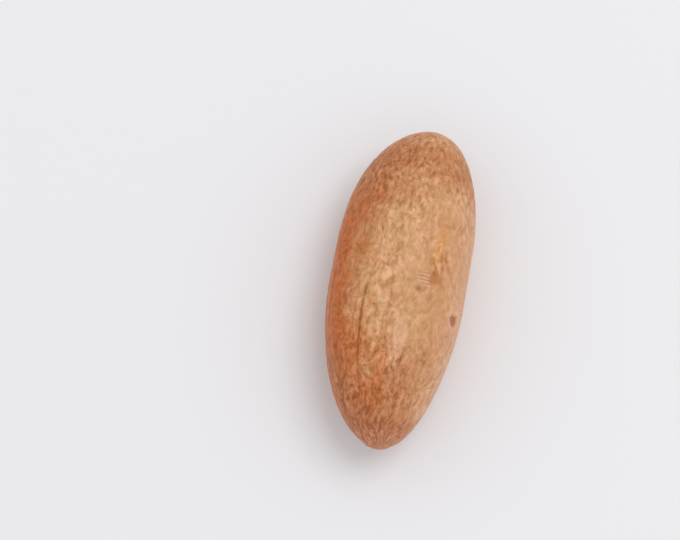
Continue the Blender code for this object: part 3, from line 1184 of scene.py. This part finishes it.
nut_skin = make_skin(coat_material())
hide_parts("nut")
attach(nut_skin, "root")


# The floor
# A sheet of smooth white card, large enough that its edges never show. The nut lies on it loose.
FLOOR_HALF = 1.5
CARD_WHITE = paint(238, 238, 241)
CARD_ROUGHNESS = 0.9
CARD_GLOSS = 0.2

floor_mesh = bpy.data.meshes.new("floor")
floor_mesh.from_pydata(
    [(x * FLOOR_HALF, y * FLOOR_HALF, 0.0) for x, y in ((-1, -1), (1, -1), (1, 1), (-1, 1))],
    [],
    [(0, 1, 2, 3)],
)
floor = bpy.data.objects.new("floor", floor_mesh)
bpy.context.scene.collection.objects.link(floor)
card = bpy.data.materials.new("white_card")
card.use_nodes = True
card_shader = card.node_tree.nodes["Principled BSDF"]
card_shader.inputs["Base Color"].default_value = CARD_WHITE
card_shader.inputs["Roughness"].default_value = CARD_ROUGHNESS
card_shader.inputs["Specular IOR Level"].default_value = CARD_GLOSS
floor_mesh.materials.append(card)


# The camera
# It looks almost straight down. The nut lies right of the picture's middle, its broad end up and
# a little to the right.
PICTURE_WIDTH = 680
PICTURE_HEIGHT = 540
NUT_PIXEL = (397.4, 288.3)
PIXELS_PER_METRE = 9360
TOP_LEANS_RIGHT = math.radians(10.5)
LOOKS_DOWN = math.radians(77)
CAMERA_AWAY = 0.35
SENSOR = 36.0
NEAREST_SEEN = 0.01
FARTHEST_SEEN = 10.0

azimuth = -(math.pi / 2 - TOP_LEANS_RIGHT)
back = Vector(
    (
        math.sin(azimuth) * math.cos(LOOKS_DOWN),
        -math.cos(azimuth) * math.cos(LOOKS_DOWN),
        math.sin(LOOKS_DOWN),
    )
)
camera_data = bpy.data.cameras.new("camera")
camera_data.sensor_width = SENSOR
camera_data.lens = SENSOR * CAMERA_AWAY * PIXELS_PER_METRE / PICTURE_WIDTH
camera_data.clip_start = NEAREST_SEEN
camera_data.clip_end = FARTHEST_SEEN
camera = bpy.data.objects.new("camera", camera_data)
camera.rotation_euler = back.to_track_quat("Z", "Y").to_euler()
right = camera.rotation_euler.to_matrix() @ Vector((1, 0, 0))
up = camera.rotation_euler.to_matrix() @ Vector((0, 1, 0))
middle = (Vector(cad_box[0]) + Vector(cad_box[1])) / 2
aim = middle - right * (NUT_PIXEL[0] - PICTURE_WIDTH / 2) / PIXELS_PER_METRE
aim += up * (NUT_PIXEL[1] - PICTURE_HEIGHT / 2) / PIXELS_PER_METRE
camera.location = aim + back * CAMERA_AWAY
bpy.context.scene.collection.objects.link(camera)
bpy.context.scene.camera = camera


# The light
# A bright even room and one large soft lamp high above, to the picture's right and towards the
# broad end. Colours are shown as they are, with no film look.
ROOM_STRENGTH = 0.74
LAMP_SIZE = 0.35
LAMP_POWER = 1.3
LAMP_RIGHT = 0.22
LAMP_UP = 0.12
LAMP_HEIGHT = 0.60

room = bpy.data.worlds.new("room")
room.use_nodes = True
room_light = room.node_tree.nodes["Background"]
room_light.inputs["Color"].default_value = (1.0, 1.0, 1.0, 1.0)
room_light.inputs["Strength"].default_value = ROOM_STRENGTH
bpy.context.scene.world = room

lamp_data = bpy.data.lights.new("lamp", "AREA")
lamp_data.shape = "SQUARE"
lamp_data.size = LAMP_SIZE
lamp_data.energy = LAMP_POWER
lamp = bpy.data.objects.new("lamp", lamp_data)
lamp.location = middle + right * LAMP_RIGHT + up * LAMP_UP + Vector((0, 0, LAMP_HEIGHT))
lamp.rotation_euler = (lamp.location - middle).to_track_quat("Z", "Y").to_euler()
bpy.context.scene.collection.objects.link(lamp)

bpy.context.scene.view_settings.view_transform = "Standard"
